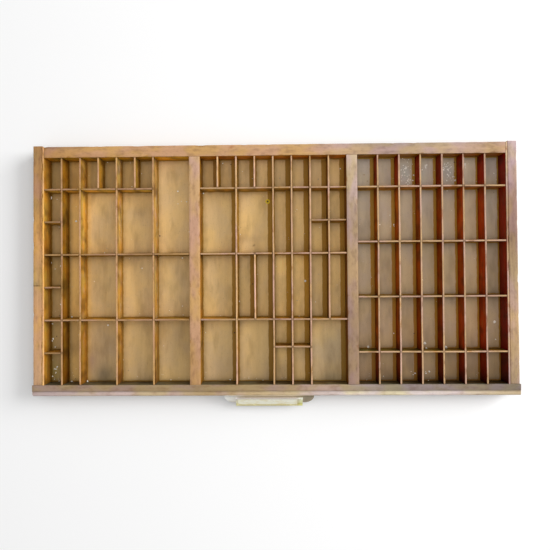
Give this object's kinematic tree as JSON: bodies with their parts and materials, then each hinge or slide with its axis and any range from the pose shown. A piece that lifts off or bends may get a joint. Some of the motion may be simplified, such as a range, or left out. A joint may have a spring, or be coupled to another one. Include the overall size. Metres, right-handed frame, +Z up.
{
  "type": "printers type tray",
  "caption": "Shallow wooden type case: three bays of halved strip compartments in a railed frame, with a sloping label pull on the front.",
  "frame": {"origin": "middle of the case's underside, under the middle bay", "axes": "+X to the right, +Y to the back, +Z up; the pull is at -Y"},
  "size_m": [0.823, 0.4484, 0.035],
  "materials": {
    "rail_wood": "worn varnish",
    "side_wood": "worn varnish",
    "lining_wood": "bare, worn",
    "front_wood": "grimy varnish, nose worn bare",
    "strip_wood": "stained sides, worn tops",
    "floor_wood": "dull, smudged",
    "grey_floor_wood": "dull, grey with lead dust",
    "bronze": "dark tarnish",
    "brass": "rubbed brass",
    "card_paper": "matt paper",
    "iron": "dull, oxidised"
  },
  "bodies": {
    "tray": {"back_rail": "rail_wood", "left_side_rail": "side_wood", "right_side_rail": "side_wood", "left_lining_strip": "lining_wood", "right_lining_strip": "lining_wood", "front_rail": "front_wood", "left_post": "rail_wood", "right_post": "rail_wood", "left_bottom_panel": "floor_wood", "middle_bottom_panel": "floor_wood", "right_bottom_panel": "grey_floor_wood", "left_cross_strip_1": "strip_wood", "left_cross_strip_2": "strip_wood", "left_cross_strip_3": "strip_wood", "left_long_strip_1": "strip_wood", "left_long_strip_2": "strip_wood", "left_long_strip_4": "strip_wood", "left_long_strip_6": "strip_wood", "left_short_strip_3": "strip_wood", "left_short_strip_5": "strip_wood", "left_stub_1": "strip_wood", "left_stub_2": "strip_wood", "left_stub_3": "strip_wood", "middle_cross_strip_1": "strip_wood", "middle_cross_strip_2": "strip_wood", "middle_cross_strip_3": "strip_wood", "middle_long_strip_2": "strip_wood", "middle_long_strip_4": "strip_wood", "middle_long_strip_5": "strip_wood", "middle_long_strip_6": "strip_wood", "middle_long_strip_7": "strip_wood", "middle_short_strip_1": "strip_wood", "middle_short_strip_3_back": "strip_wood", "middle_short_strip_3_front": "strip_wood", "middle_stub_back": "strip_wood", "middle_stub_front": "strip_wood", "right_cross_strip_1": "strip_wood", "right_cross_strip_2": "strip_wood", "right_cross_strip_3": "strip_wood", "right_cross_strip_4": "strip_wood", "right_long_strip_1": "strip_wood", "right_long_strip_2": "strip_wood", "right_long_strip_3": "strip_wood", "right_long_strip_4": "strip_wood", "right_long_strip_5": "strip_wood", "right_long_strip_6": "strip_wood", "pull_hood": "bronze", "label_holder": "brass", "pull_screws": "iron", "front_nails": "iron", "side_nails": "iron", "back_nails": "iron", "bottom_brads": "iron"},
    "card": {"label_card": "card_paper"}
  },
  "joints": [
    {"name": "label_card_slide", "type": "slide", "parent": "tray", "child": "card", "axis": [1, 0, 0], "range_m": [-0.106, 0.112]}
  ]
}
